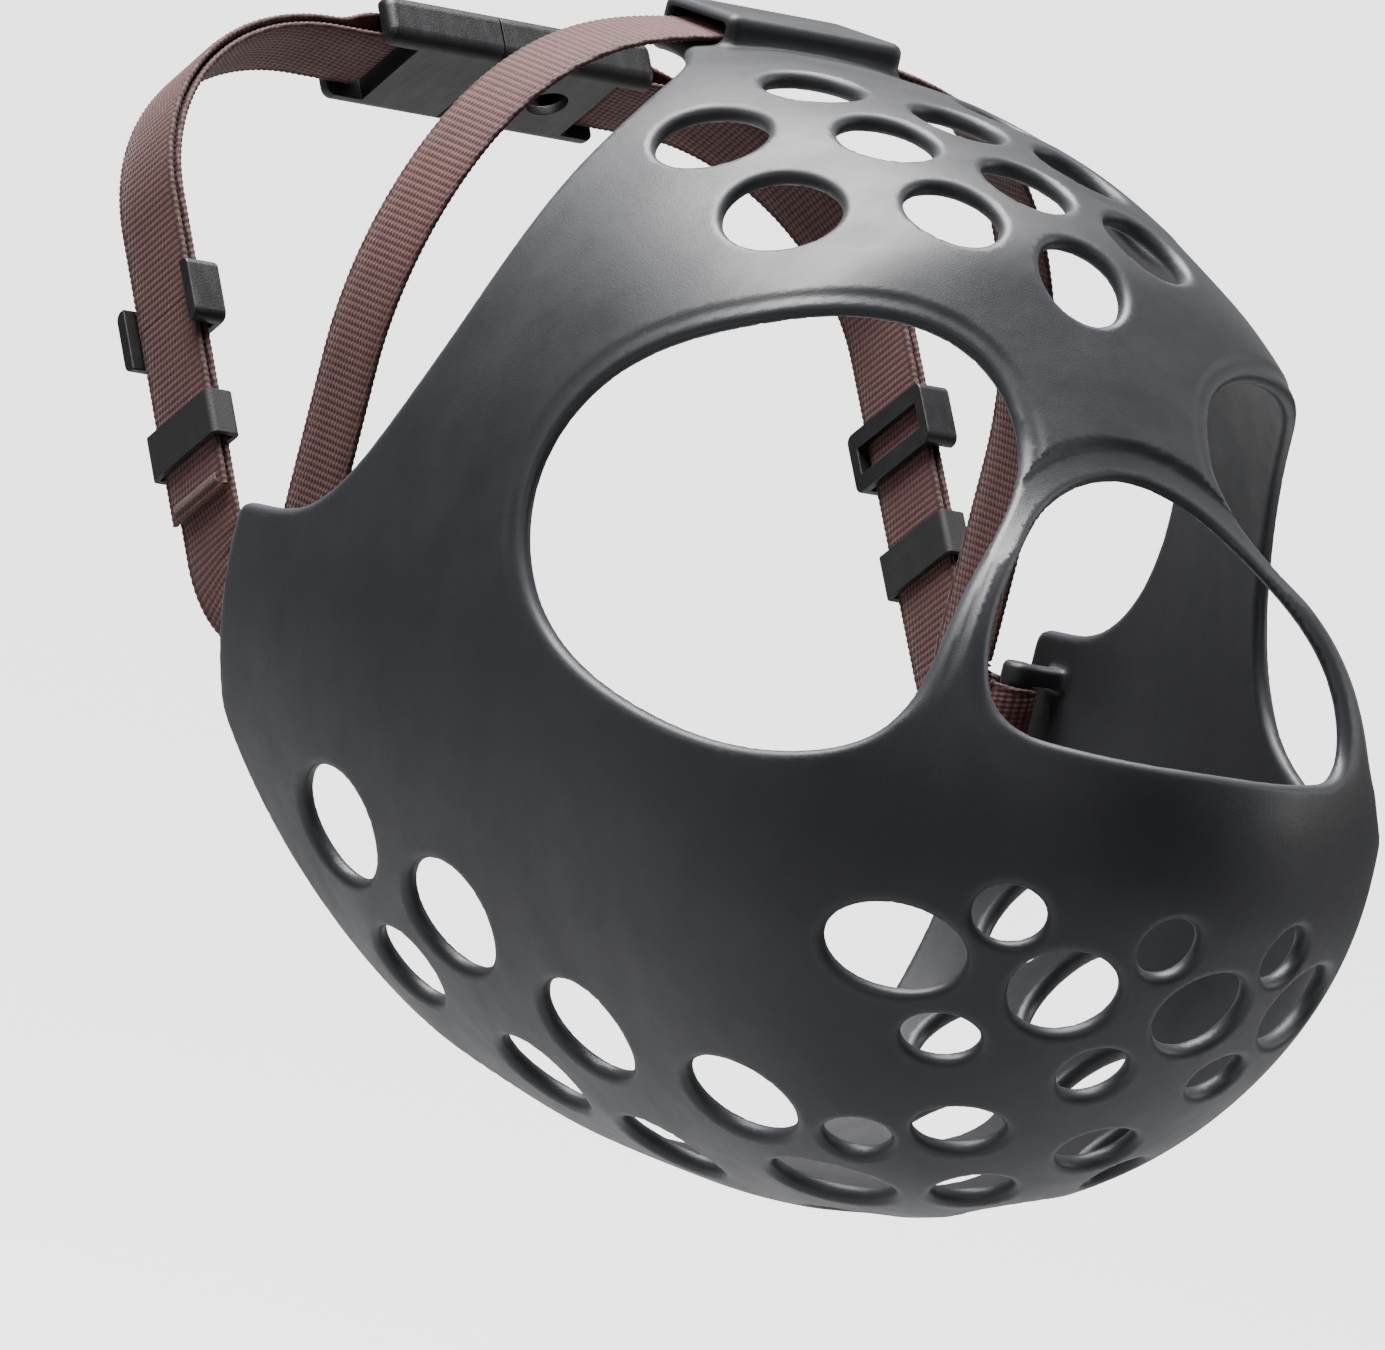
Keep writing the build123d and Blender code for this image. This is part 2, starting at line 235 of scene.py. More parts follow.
# ----------------------------------------------------------------- shell: form (in mm)
WALL = 4.0
TIP = -106.2  # foremost point
FULL_TOP, FULL_BOTTOM = 2.3, 2.0  # how much fuller than an ellipse the sections are
STATIONS = np.array([  # y, half width, height of the widest line, top, bottom
    (-105, 13, -9, 4, -19), (-100, 28, -10, 18, -34), (-90, 47, -12, 35, -53),
    (-75, 66, -12, 47, -72), (-60, 77, -10, 54, -86), (-40, 85, -5, 76, -95),
    (-20, 90, 0, 98, -100), (0, 93, 0, 107, -103), (30, 98, 0, 115, -104),
    (60, 101.5, 0, 118, -104), (114, 103.5, 0, 117, -95),
], float)
STEP_Y = 0.5
ys = np.arange(-140, 150, STEP_Y)


def eased(values, width=5.0):
    """A value per station, as a smooth function of y."""
    y = STATIONS[:, 0]
    line = np.interp(ys, y, values)
    slope = (values[-1] - values[-2]) / (y[-1] - y[-2])
    line = np.where(ys > y[-1], values[-1] + slope * (ys - y[-1]), line)
    reach = np.arange(-40, 41) * STEP_Y
    bell = np.exp(-0.5 * (reach / width) ** 2)
    padded = np.pad(line, 40, mode="edge")
    return np.convolve(padded, bell / bell.sum(), mode="valid")


def form_tables():
    """Rows of the form's coefficients over y, and of their slopes."""
    y, half, mid, top, bottom = STATIONS.T
    run = y - TIP
    rows = [eased(run / half**2), eased(run / (top - mid) ** 2), eased(run / (mid - bottom) ** 2),
            eased(mid)]
    return np.array(rows + [np.gradient(r, STEP_Y) for r in rows])


TABLE = form_tables()


def form(x, y, z):
    """First-order distance to the basket's outer skin, and the unit normal."""
    f = np.clip((y - ys[0]) / STEP_Y, 0, len(ys) - 2.001)
    i = f.astype(int)
    f = f - i
    a, bt, bb, m, da, dbt, dbb, dm = TABLE[:, i] * (1 - f) + TABLE[:, i + 1] * f
    h = z - m
    b, db = np.where(h > 0, bt, bb), np.where(h > 0, dbt, dbb)
    q = np.where(h > 0, FULL_TOP, FULL_BOTTOM) / 2
    A, B = a * x * x + 1e-9, b * h * h + 1e-9
    total = A**q + B**q
    value = total ** (1 / q)
    ga, gb = value / total * A ** (q - 1), value / total * B ** (q - 1)
    value = value - (y - TIP)
    gx, gz = ga * 2 * a * x, gb * 2 * b * h
    gy = ga * da * x * x + gb * db * h * h - gz * dm - 1
    size = np.sqrt(gx * gx + gy * gy + gz * gz) + 1e-9
    return value / size, gx / size, gy / size, gz / size


def skin(x, y, z):
    """Distance to the outer skin (negative inside) and the normal, one step refined."""
    s, nx, ny, nz = form(x, y, z)
    s1, nx, ny, nz = form(x - s * nx, y - s * ny, z - s * nz)
    return s + s1, nx, ny, nz


# --------------------------------------------------------------- shell: outlines (in mm)
def spline(points, closed=False, ends=None, count=24):
    """A smooth curve through the points, with its end directions where they are given."""
    p = np.array(points, float)
    if closed:
        p = np.vstack([p, p[:1]])
    h = np.linalg.norm(np.diff(p, axis=0), axis=1)
    n = len(p)
    A, rhs = np.zeros((n, n)), np.zeros((n, 2))
    for i in range(1, n - 1):
        A[i, i - 1:i + 2] = h[i], 2 * (h[i - 1] + h[i]), h[i - 1]
        rhs[i] = 3 * (h[i] / h[i - 1] * (p[i] - p[i - 1]) + h[i - 1] / h[i] * (p[i + 1] - p[i]))
    if closed:
        A[0, 0], A[0, -1] = 1, -1
        A[-1, 0] = 2 * (h[-1] + h[0])
        A[-1, 1], A[-1, -2] = h[-1], h[0]
        rhs[-1] = 3 * (h[-1] / h[0] * (p[1] - p[0]) + h[0] / h[-1] * (p[0] - p[-2]))
    elif ends is None:
        A[0, :2], A[-1, -2:] = (2, 1), (1, 2)
        rhs[0], rhs[-1] = 3 * (p[1] - p[0]) / h[0], 3 * (p[-1] - p[-2]) / h[-1]
    else:
        A[0, 0] = A[-1, -1] = 1
        rhs[0], rhs[-1] = (np.array(e) / np.linalg.norm(e) for e in ends)
    d = np.linalg.solve(A, rhs)
    t = np.linspace(0, 1, count, endpoint=False)[:, None]
    out = []
    for i in range(n - 1):
        out.append((1 + 2 * t) * (1 - t) ** 2 * p[i] + t * (1 - t) ** 2 * h[i] * d[i]
                   + t * t * (3 - 2 * t) * p[i + 1] + t * t * (t - 1) * h[i] * d[i + 1])
    if not closed:
        out.append(p[-1:])
    return np.vstack(out)


class Outline:
    """Signed distance to a closed outline in a plane, negative inside it, from a table."""

    def __init__(self, loop, near, rounded=0.0, step=0.6):
        loop = np.array(loop, float)
        seg = np.roll(loop, -1, 0) - loop
        length = np.linalg.norm(seg, axis=1)
        at = np.concatenate([[0], np.cumsum(length)])
        count = int(at[-1] / 1.0)
        ends = np.vstack([loop, loop[:1]])
        s = np.arange(count) / count * at[-1]
        loop = np.stack([np.interp(s, at, ends[:, k]) for k in (0, 1)], 1)
        if rounded:
            reach = np.arange(-30, 31)
            bell = np.exp(-0.5 * (reach / rounded) ** 2)
            bell /= bell.sum()
            wrapped = np.vstack([loop[-30:], loop, loop[:30]])
            loop = np.stack([np.convolve(wrapped[:, k], bell, "valid") for k in (0, 1)], 1)
        (u0, u1), (v0, v1) = near
        self.step, self.u0, self.v0 = step, u0, v0
        u, v = np.arange(u0, u1, step), np.arange(v0, v1, step)
        U, V = (g.ravel().astype(np.float32) for g in np.meshgrid(u, v, indexing="ij"))
        best = np.full(U.shape, 1e9, np.float32)
        inside = np.zeros(U.shape, bool)
        nxt = np.roll(loop, -1, 0)
        for (ax, ay), (bx, by) in zip(loop.astype(np.float32), nxt.astype(np.float32)):
            dx, dy = bx - ax, by - ay
            pu, pv = U - ax, V - ay
            t = np.clip((pu * dx + pv * dy) / (dx * dx + dy * dy), 0, 1)
            best = np.minimum(best, (pu - t * dx) ** 2 + (pv - t * dy) ** 2)
            if ay != by:
                inside ^= ((ay > V) != (by > V)) & (U < dx * (V - ay) / dy + ax)
        value = (np.sqrt(best) * np.where(inside, -1, 1)).reshape(len(u), len(v))
        gu, gv = np.gradient(value, step)
        self.stack = np.stack([value, gu, gv])

    def at(self, u, v):
        fu = np.clip((u - self.u0) / self.step, 0, self.stack.shape[1] - 1.001)
        fv = np.clip((v - self.v0) / self.step, 0, self.stack.shape[2] - 1.001)
        i, j = fu.astype(int), fv.astype(int)
        fu, fv = fu - i, fv - j
        T = self.stack
        return ((T[:, i, j] * (1 - fu) + T[:, i + 1, j] * fu) * (1 - fv)
                + (T[:, i, j + 1] * (1 - fu) + T[:, i + 1, j + 1] * fu) * fv)


def trim_outline():
    """Side view of what is kept: crown tab, sweep round the ear, cheek lug, under rim."""
    rim = spline([(110, 113), (92, 112.8), (80, 111.5), (69, 108.5), (60, 101.5), (54, 88),
                  (51, 70), (52, 52), (57.5, 34), (66.5, 18.5), (77, 10.5), (98, 7)],
                 ends=((-1, 0), (1, -0.15)))
    under = spline([(98, -35), (84, -59), (72, -76), (58, -88), (42, -96), (30, -112)])
    loop = np.vstack([rim, under, [(30, -160), (-160, -160), (-160, 160), (110, 160)]])
    return Outline(loop, ((20, 116), (-115, 130)), rounded=2.2)


EYE_TURN = math.radians(40)
TRIM = trim_outline()
EYE = Outline(spline([(-18, 79), (2, 74), (14, 57), (11, 35), (3, 6), (-14, -3), (-45, -4),
                      (-70, 7), (-78.5, 29), (-69.5, 54), (-44, 72)], closed=True),
              ((-90, 30), (-18, 94)))
nose_side = spline([(0, 58.5), (12, 56.4), (20, 52.8), (28, 47.2), (35, 40.4), (40, 33.5),
                    (42.8, 26.5), (43.6, 20.5), (42.6, 15.5), (39.4, 12), (32, 10.4), (0, 10.2)],
                   ends=((1, 0), (-1, 0)))
NOSE = Outline(np.vstack([nose_side, nose_side[-2:0:-1] * (-1, 1)]), ((-2, 62), (-5, 76)))

VENTS = [  # x, y, z of the centre, then width and height
    (24, 48, 114, 20, 20), (24, 19, 109, 20, 20), (24, -9, 100, 20, 20),
    (51, 38, 99, 23, 23), (52, 7, 90, 24, 24),
    (0, 30, 114, 19, 19), (0, 2, 107.5, 19, 19), (0, -25, 94, 20, 20),
    (50, -83, -36, 28, 18.5), (17, -96.5, -38, 23, 19.5),
    (34, -95.5, -24, 15, 12), (34, -83, -52, 16, 11.5),
    (0, -103.5, -25, 13.5, 13), (0, -89, -54, 15, 14),
    (17, -73, -71, 19, 14), (0, -60, -86, 17, 15), (32, -61, -78, 13.5, 13),
    (50, -44, -77, 24, 23), (22, -43, -91, 25, 21), (0, -22, -100, 19, 19),
    (34, -4, -95, 23, 23), (64, -8, -73, 24, 24),
    (51, 21, -88, 22, 22), (80, 25, -60, 26, 25), (89, 58, -50, 25, 25), (70, 49, -75, 19, 19),
]


def vent_frames():
    """Each vent's centre in the wall, its normal, its two axes and its half sizes."""
    frames = []
    for x, y, z, width, height in VENTS:
        p = np.array([(x,), (y,), (z,)], float)
        for _ in range(4):
            s, nx, ny, nz = form(*p)
            p = p - s * np.array([nx, ny, nz])
        n = np.array([nx[0], ny[0], nz[0]])
        across = np.cross((0, 0, 1), n) if abs(n[2]) < 0.93 else np.array((1.0, 0, 0))
        across = across - n * across.dot(n)
        across /= np.linalg.norm(across)
        middle = p[:, 0] - n * WALL / 2
        frames.append((middle, n, across, np.cross(n, across), width / 2, height / 2))
    return frames


VENT_FRAMES = vent_frames()


def openings(x, y, z, nx, ny, nz):
    """How far a point of the wall's middle lies inside an opening: all of them, the eyes'
    and the nose's. x is not negative."""
    def scaled(value, along):
        return value / np.sqrt(np.clip(1 - along**2, 0.12, 1))

    t, tu, tv = TRIM.at(y, z)
    worst = scaled(t, tu * ny + tv * nz)
    c, s = math.cos(EYE_TURN), math.sin(EYE_TURN)
    eyes = np.full(x.shape, -99.0)
    for side in (1, -1):
        sx, snx = x * side, nx * side
        ahead = -(s * sx + c * y) > 20
        e, eu, ev = EYE.at(c * sx - s * y, z)
        e = np.where(ahead, -scaled(e, eu * (c * snx - s * ny) + ev * nz), -99)
        eyes = np.maximum(eyes, e)
    e, eu, ev = NOSE.at(x, z)
    nose = np.where(y < -25, -scaled(e, eu * nx + ev * nz), -99)
    worst = np.maximum(worst, np.maximum(eyes, nose))
    for p, n, across, upward, a, b in VENT_FRAMES:
        near = (abs(x - p[0]) < 18) & (abs(y - p[1]) < 18) & (abs(z - p[2]) < 18)
        near = np.nonzero(near)[0]
        if not len(near):
            continue
        for side in (1, -1) if p[0] else (1,):
            if side < 0 and p[0] > 20:
                continue
            d = np.stack([x[near] * side - p[0], y[near] - p[1], z[near] - p[2]])
            u, v = across @ d, upward @ d
            rho = np.sqrt((u / a) ** 2 + (v / b) ** 2) + 1e-6
            slope = np.sqrt((u / a**2) ** 2 + (v / b**2) ** 2) / rho + 1e-6
            inside = np.where(abs(n @ d) < 9, (1 - rho) / slope, -99)
            worst[near] = np.maximum(worst[near], np.clip(inside, -99, min(a, b)))
    return worst, eyes, nose


def both(a, b, r):
    """Intersection of two distances with a rounded edge."""
    a, b = a + r, b + r
    return np.minimum(np.maximum(a, b), 0) + np.hypot(np.maximum(a, 0), np.maximum(b, 0)) - r


def either(a, b, k):
    """Union of two distances with a soft joint."""
    h = np.maximum(k - abs(a - b), 0) / k
    return np.minimum(a, b) - h * h * k / 4


def brick(x, y, z, centre, half, r):
    """Distance to a box with rounded edges."""
    d = [abs(q - c) - h + r for q, c, h in zip((x, y, z), centre, half)]
    out = np.sqrt(sum(np.maximum(q, 0) ** 2 for q in d))
    return out + np.minimum(np.maximum(np.maximum(d[0], d[1]), d[2]), 0) - r


def ramp(value, a, b):
    """0 at a, 1 at b, smooth between."""
    t = np.clip((value - a) / (b - a), 0, 1)
    return t * t * (3 - 2 * t)


EDGE = 1.8  # rounding of the wall's edges
TUNNEL = (0, 97, 110.0), (22, 13, 13.0)  # crown block: centre, half sizes
SLOT = (0, 97, 100.0), (40, 10.5, 20.6)  # the space in it for the webbing
BAR_X, BAR_Y, BAR_Z, BAR_R, BAR_HALF = 88, 86, -14, 3.0, 14.4  # upright bar inside the cheek
POST_X, POST_AT, POST_HALF = 95.5, 12.5, (9.5, 3.0, 2.0)  # posts that hold the bar


def shell_distance(x, y, z, want_rim=False):
    """Distance to the moulded basket, its crown tunnel and its cheek loops."""
    x = abs(x)
    s, nx, ny, nz = skin(x, y, z)
    lift = s + WALL / 2
    hole, eyes, nose = openings(x - nx * lift, y - ny * lift, z - nz * lift, nx, ny, nz)
    if want_rim:
        return ramp(hole, -3.2, -0.4)
    # the skin lies lower in an arch over the nose, along the eyes, and at the bars' edges
    arch = 1.3 * ramp(nose, -9.0, -6.0) * ramp(z, 36, 47)
    lid = 0.5 * ramp(eyes, -5.8, -3.2) * ramp(z, 4, 24)
    bar = 1 - ramp(-eyes - nose, 13, 22)
    crowned = 1.5 * bar * np.clip(1 + np.maximum(eyes, nose) / 6, 0, 1) ** 2
    sunk = np.maximum(np.maximum(arch, lid), crowned)
    wall = np.maximum(s + sunk, -s - WALL)
    d = both(wall, hole, EDGE)
    near = np.nonzero((x < 28) & (y > 76) & (z > 100))[0]
    if len(near):
        X, Y, Z = x[near], y[near], z[near]
        block = brick(X, Y, Z, *TUNNEL, 2.2)
        slot = brick(X, Y, Z, *SLOT, 1.0)
        block = both(block, -slot, 0.8)
        block = both(block, -s[near] - WALL, 0.8)
        d[near] = either(d[near], block, 2.4)
    near = np.nonzero((x > 80) & (y > 74) & (y < 98) & (z > -36) & (z < 8))[0]
    if len(near):
        X, Y, Z = x[near], y[near], z[near]
        bar = np.hypot(X - BAR_X, Y - BAR_Y) - BAR_R
        bar = both(bar, abs(Z - BAR_Z) - BAR_HALF, 0.9)
        for end in (1, -1):
            post = brick(X, Y, Z, (POST_X, BAR_Y, BAR_Z + end * POST_AT), POST_HALF, 1.0)
            bar = either(bar, post, 1.6)
        bar = both(bar, s[near] + 2.0, 0.6)
        d[near] = either(d[near], bar, 2.0)
    return d


# ---------------------------------------------------------------------- shell: the mesh
PITCH, QUICK_PITCH = 1.15, 2.0  # grid the shell's surface is found on
MOST_TRIANGLES = 190000


def mesh_of(distance, pitch):
    """The surface where the distance is zero, on both sides of the mirror plane."""
    gx = np.arange(0, 107, pitch)
    gy = np.arange(-110, 114, pitch)
    gz = np.arange(-109, 127, pitch)
    X, Y, Z = np.meshgrid(gx, gy, gz, indexing="ij")
    X, Y, Z = X.ravel(), Y.ravel(), Z.ravel()
    s = form(X, Y, Z)[0]
    V = np.clip(np.abs(s + WALL / 2) - WALL / 2, -6, 6)
    by_tunnel = (X < 28) & (Y > 76) & (Z > 104)
    by_bar = (X > 80) & (Y > 74) & (Y < 98) & (abs(Z - BAR_Z) < 22)
    boxes = by_tunnel | by_bar
    band = np.nonzero((np.abs(s + WALL / 2) < WALL / 2 + 1.8 * pitch + 0.8) | boxes & (s < 14))[0]
    V[band] = distance(X[band], Y[band], Z[band])
    V = V.reshape(len(gx), len(gy), len(gz))
    V = np.concatenate([V[:0:-1], V])
    gx = np.concatenate([-gx[:0:-1], gx])
    inside = V < 0
    mixed = np.zeros(np.array(V.shape) - 1, bool)
    first = inside[:-1, :-1, :-1]
    corners = [(a, b, c) for a in (0, 1) for b in (0, 1) for c in (0, 1)]
    n0, n1, n2 = mixed.shape
    for a, b, c in corners[1:]:
        mixed |= first != inside[a:a + n0, b:b + n1, c:c + n2]
    cell = np.argwhere(mixed)
    number = np.full(mixed.shape, -1, np.int64)
    number[mixed] = np.arange(len(cell))
    total, count = np.zeros((len(cell), 3)), np.zeros(len(cell))
    value = {k: V[cell[:, 0] + k[0], cell[:, 1] + k[1], cell[:, 2] + k[2]] for k in corners}
    for k in corners:
        for axis in range(3):
            if k[axis]:
                continue
            j = tuple(q + (i == axis) for i, q in enumerate(k))
            va, vb = value[k], value[j]
            hit = (va < 0) != (vb < 0)
            t = np.where(hit, va / np.where(hit, va - vb, 1), 0)
            p = np.array(k, float) + np.eye(3)[axis] * t[:, None]
            total += p * hit[:, None]
            count += hit
    low = np.array([gx[0], gy[0], gz[0]])
    verts = low + (cell + total / count[:, None]) * pitch
    faces = []
    for axis in range(3):
        o1, o2 = [np.eye(3, dtype=int)[(axis + k) % 3] for k in (1, 2)]
        cut = np.diff(inside.astype(np.int8), axis=axis)
        at = np.argwhere(cut)
        keep = np.all((at >= 1) & (at < np.array(mixed.shape)), axis=1)
        at = at[keep]
        quad = np.stack([number[tuple((at - a * o1 - b * o2).T)]
                         for a, b in ((0, 0), (1, 0), (1, 1), (0, 1))], 1)
        flip = cut[tuple(at.T)] > 0
        quad[flip] = quad[flip][:, ::-1]
        faces.append(quad)
    faces = np.vstack(faces)
    return verts, faces[(faces >= 0).all(1)]


def gradient(distance, v, h=0.25):
    """Slope of the distance at each point, by differences."""
    out = np.empty_like(v)
    for k in range(3):
        step = np.zeros(3)
        step[k] = h
        out[:, k] = (distance(*(v + step).T) - distance(*(v - step).T)) / (2 * h)
    return out


def settled(distance, v, times=2):
    """Vertices brought on to the surface."""
    for _ in range(times):
        g = gradient(distance, v)
        d = distance(*v.T)
        size = np.clip((g * g).sum(1), 0.3, None)
        v = v - np.clip(d / size, -0.6, 0.6)[:, None] * g
    return v


def make_shell():
    """The basket's mesh, thinned to the limit, with its normals from the distance."""
    verts, faces = mesh_of(shell_distance, PITCH)
    verts = settled(shell_distance, verts)
    mesh = bpy.data.meshes.new("shell_form")
    mesh.from_pydata(verts * MM, [], faces.tolist())
    made = bpy.data.objects.new("shell_raw", mesh)
    bpy.context.scene.collection.objects.link(made)
    limit = MOST_TRIANGLES / (2 * len(faces))
    if limit < 1:
        fewer = made.modifiers.new("fewer", "DECIMATE")
        fewer.ratio = limit
        fewer.use_symmetry = True
        fewer.symmetry_axis = "X"
        mesh = bpy.data.meshes.new_from_object(
            made.evaluated_get(bpy.context.evaluated_depsgraph_get()))
    bpy.data.objects.remove(made)
    co = np.zeros(len(mesh.vertices) * 3)
    mesh.vertices.foreach_get("co", co)
    v = settled(shell_distance, co.reshape(-1, 3) / MM, 1)
    mesh.vertices.foreach_set("co", (v * MM).ravel())
    mesh.update()
    mesh.shade_smooth()
    n = gradient(shell_distance, v, 0.2)
    n /= np.linalg.norm(n, axis=1)[:, None] + 1e-9
    mesh.normals_split_custom_set_from_vertices(n.tolist())
    rim = mesh.attributes.new("rim", "FLOAT", "POINT")
    rim.data.foreach_set("value", shell_distance(*v.T, want_rim=True).astype(np.float32))
    return mesh


new_piece("shell_moulded", make_shell(), silicone(), "basket", "silicone", "shell")

# --------------------------------------------------------------------- webbing: its path
OUTER_X, INNER_X = 92.3, 83.7  # legs outside and inside the cheek bar
TURN_R = 4.3  # turn round the bar
NECK_ELBOW, NECK_R, NECK_TILT = (100, 11), 25, 50  # centre (y, z), radius, degrees
CROWN_ELBOW, CROWN_R, CROWN_TILT = (86, 0), 14, 1.5
SIDE_X, LAYERED_X = 94.3, 44.3  # outer layer of the side run, and where its corner starts
CUT = 52.0  # along the neck, where the clip's end of the webbing starts, under the slide
X_DIR = np.array((1, 0, 0))


def tilted(degrees):
    """A direction in the YZ plane, by its angle up from +Y."""
    return np.array((0, math.cos(math.radians(degrees)), math.sin(math.radians(degrees))))


NECK_V, NECK_N = tilted(NECK_TILT), tilted(NECK_TILT + 90)
NECK_O = np.array((0, *NECK_ELBOW)) - NECK_R * NECK_N
CROWN_V, CROWN_N = tilted(90 + CROWN_TILT), tilted(180 + CROWN_TILT)
CROWN_O = np.array((0, *CROWN_ELBOW)) + CROWN_R * tilted(CROWN_TILT)


def arc(cx, cy, r, a, b):
    t = np.radians(np.linspace(a, b, max(12, int(abs(b - a) * r / 12))))
    return np.stack([cx + r * np.cos(t), cy + r * np.sin(t)], 1)


def flat_run(line, origin, along, width):
    """A stretch that lies in a plane through X: points, width directions, no gathers."""
    points = [origin + x * X_DIR + v * along for x, v in line]
    return np.array(points), np.tile(width, (len(line), 1)), np.zeros(len(line))


def elbow(x, centre, r, a, b, pull):
    """A turn in the strap's own plane, its inner edge gathered by pull."""
    t = np.linspace(a, b, 30)
    radial = np.array([tilted(q) for q in t])
    return (np.array((x, *centre)) + r * radial, -radial,
            pull * np.sin(math.pi * (t - a) / (b - a)))


def half_path():
    """The left half of the webbing's mid-line: points, width directions, and how much the
    inner edge gathers there."""
    neck = np.vstack([
        [(SIDE_X, 8)], arc(LAYERED_X, 76, 50, 0, 90),
        spline([(LAYERED_X, 126), (33.5, 128.8)], ends=((-1, 0), (-1, 0)), count=12),
        arc(29.5, 126.4, 2.4, 90, 270), arc(LAYERED_X, 76, 48, 90, 0), [(OUTER_X, 0)]])
    around = arc(BAR_X, BAR_Y, TURN_R, 0, -180)
    crown = np.vstack([[(INNER_X, 6)], spline([(INNER_X, 38), (76, 76), (60, 101), (44, 111.8),
                                               (22, 117.2), (0, 118.77)],
                                              ends=((0, 1), (-1, 0)))])
    stretches = [
        flat_run(neck, NECK_O, NECK_V, NECK_N),
        elbow(OUTER_X, NECK_ELBOW, NECK_R, NECK_TILT - 90, -90, 0.5),
        flat_run(around, np.array((0, 0, BAR_Z)), np.array((0, 1, 0)), np.array((0, 0, 1))),
        elbow(INNER_X, CROWN_ELBOW, CROWN_R, -90, CROWN_TILT, 1.0),
        flat_run(crown, CROWN_O, CROWN_V, CROWN_N),
    ]
    return [np.concatenate(column) for column in zip(*stretches)]


def whole_path(step):
    """Both halves as one line of evenly spaced points: distance, point, width, gather."""
    p, w, g = half_path()
    flip = np.array((-1, 1, 1))
    p = np.concatenate([p, (p * flip)[-2::-1]])
    w = np.concatenate([w, (w * flip)[-2::-1]])
    g = np.concatenate([g, g[-2::-1]])
    s = np.concatenate([[0], np.cumsum(np.linalg.norm(np.diff(p, axis=0), axis=1))])
    keep = np.concatenate([[True], np.diff(s) > 1e-6])
    at = np.arange(0, s[-1], step)
    lines = [np.interp(at, s[keep], c[keep]) for c in (*p.T, *w.T, g)]
    return at, np.array(lines[:3]).T, np.array(lines[3:6]).T, lines[6]


PER_RIB = 4  # rows of vertices in each rib
HALF_W = 9.9  # half the width of the webbing
PROFILE = [  # across, half thickness in a groove between ribs, and on a rib
    (-HALF_W, 0, 0), (-9.72, 0.38, 0.5), (-9.25, 0.55, 0.74), (-8.75, 0.4, 0.5), (-8.2, 0.6, 0.8),
    (-4.1, 0.6, 0.8), (0, 0.6, 0.8), (4.1, 0.6, 0.8), (8.2, 0.6, 0.8), (8.75, 0.4, 0.5),
    (9.25, 0.55, 0.74), (9.72, 0.38, 0.5), (HALF_W, 0, 0)]


def band_mesh(name, parts, path):
    """Ribbed webbing along each (first, last) stretch of the path."""
    at, p, w, g = path
    t = np.gradient(p, axis=0)
    t /= np.linalg.norm(t, axis=1)[:, None]
    n = np.cross(t, w)
    ring = [(*row, 1) for row in PROFILE] + [(*row, -1) for row in PROFILE[-2:0:-1]]
    a, lo, hi, side = np.array(ring, float).T
    lift = 0.5 + 0.5 * np.cos(2 * math.pi * at / (RIB / MM))
    half = side * (lo + (hi - lo) * lift[:, None])
    wide = a * (1 + 0.012 * (lift[:, None] - 0.5) * (abs(a) > 9))
    fold = g[:, None] * np.clip(a / HALF_W, 0, 1) ** 1.5
    ripple = fold * 1.1 * (1 - np.cos(at[:, None] * 1.5)) * np.sign(n[:, :1] * -p[:, :1])
    co = p[:, None] + wide[..., None] * w[:, None] + (half + ripple)[..., None] * n[:, None]
    ring_n = len(ring)
    verts, faces, uvs = [], [], []
    base = 0
    for first, last in parts:
        rows = last - first
        verts.append(co[first:last].reshape(-1, 3))
        uv = np.stack(np.broadcast_arrays(a * MM, at[first:last, None] * MM), -1).reshape(-1, 2)
        uvs.append(uv)
        r, c = np.meshgrid(np.arange(rows - 1), np.arange(ring_n), indexing="ij")
        c2 = (c + 1) % ring_n
        quad = np.stack([r * ring_n + c, r * ring_n + c2, (r + 1) * ring_n + c2,
                         (r + 1) * ring_n + c], -1).reshape(-1, 4) + base
        faces += quad.tolist()
        faces.append([base + k for k in range(ring_n)][::-1])
        faces.append([base + (rows - 1) * ring_n + k for k in range(ring_n)])
        base += rows * ring_n
    mesh = bpy.data.meshes.new(name)
    mesh.from_pydata(np.vstack(verts) * MM, [], faces)
    uv = np.vstack(uvs)
    loops = np.zeros(len(mesh.loops), int)
    mesh.loops.foreach_get("vertex_index", loops)
    mesh.uv_layers.new(name="along").data.foreach_set("uv", uv[loops].ravel())
    mesh.shade_smooth()
    mesh.update()
    work = bmesh.new()
    work.from_mesh(mesh)
    bmesh.ops.recalc_face_normals(work, faces=work.faces)
    work.to_mesh(mesh)
    work.free()
    return mesh


path = whole_path(RIB / MM / PER_RIB)
down_neck = (path[1] - NECK_O) @ NECK_V
on_clip_side = np.nonzero((path[1][:, 0] < 0) & (path[0] > path[0][-1] * 0.6) & (down_neck > CUT)
                          & (abs((path[1] - NECK_O) @ NECK_N) < 0.5))[0]
loop_start, loop_end = on_clip_side[0], on_clip_side[-1]
fabric = webbing_fabric()
harness = band_mesh("webbing_harness", [(0, loop_start + 1), (loop_end, len(path[0]))], path)
new_piece("webbing_harness", harness, fabric, "basket", "webbing", "webbing")
clip_run = band_mesh("webbing_clip_end", [(loop_start, loop_end + 1)], path)
clip_end = new_piece("webbing_clip_end", clip_run, fabric, None, "webbing", "webbing")
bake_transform(clip_end)


# ----------------------------------------------------------------------------- stitching
TACK_X, TACK_HALF, TACK_LOW, TACK_HIGH = 94.98, 7.8, 9.35, 11.65  # height, reach, rows
STITCHES, STEPS, SIDES, YARN_R = 48, 7, 6, 0.24


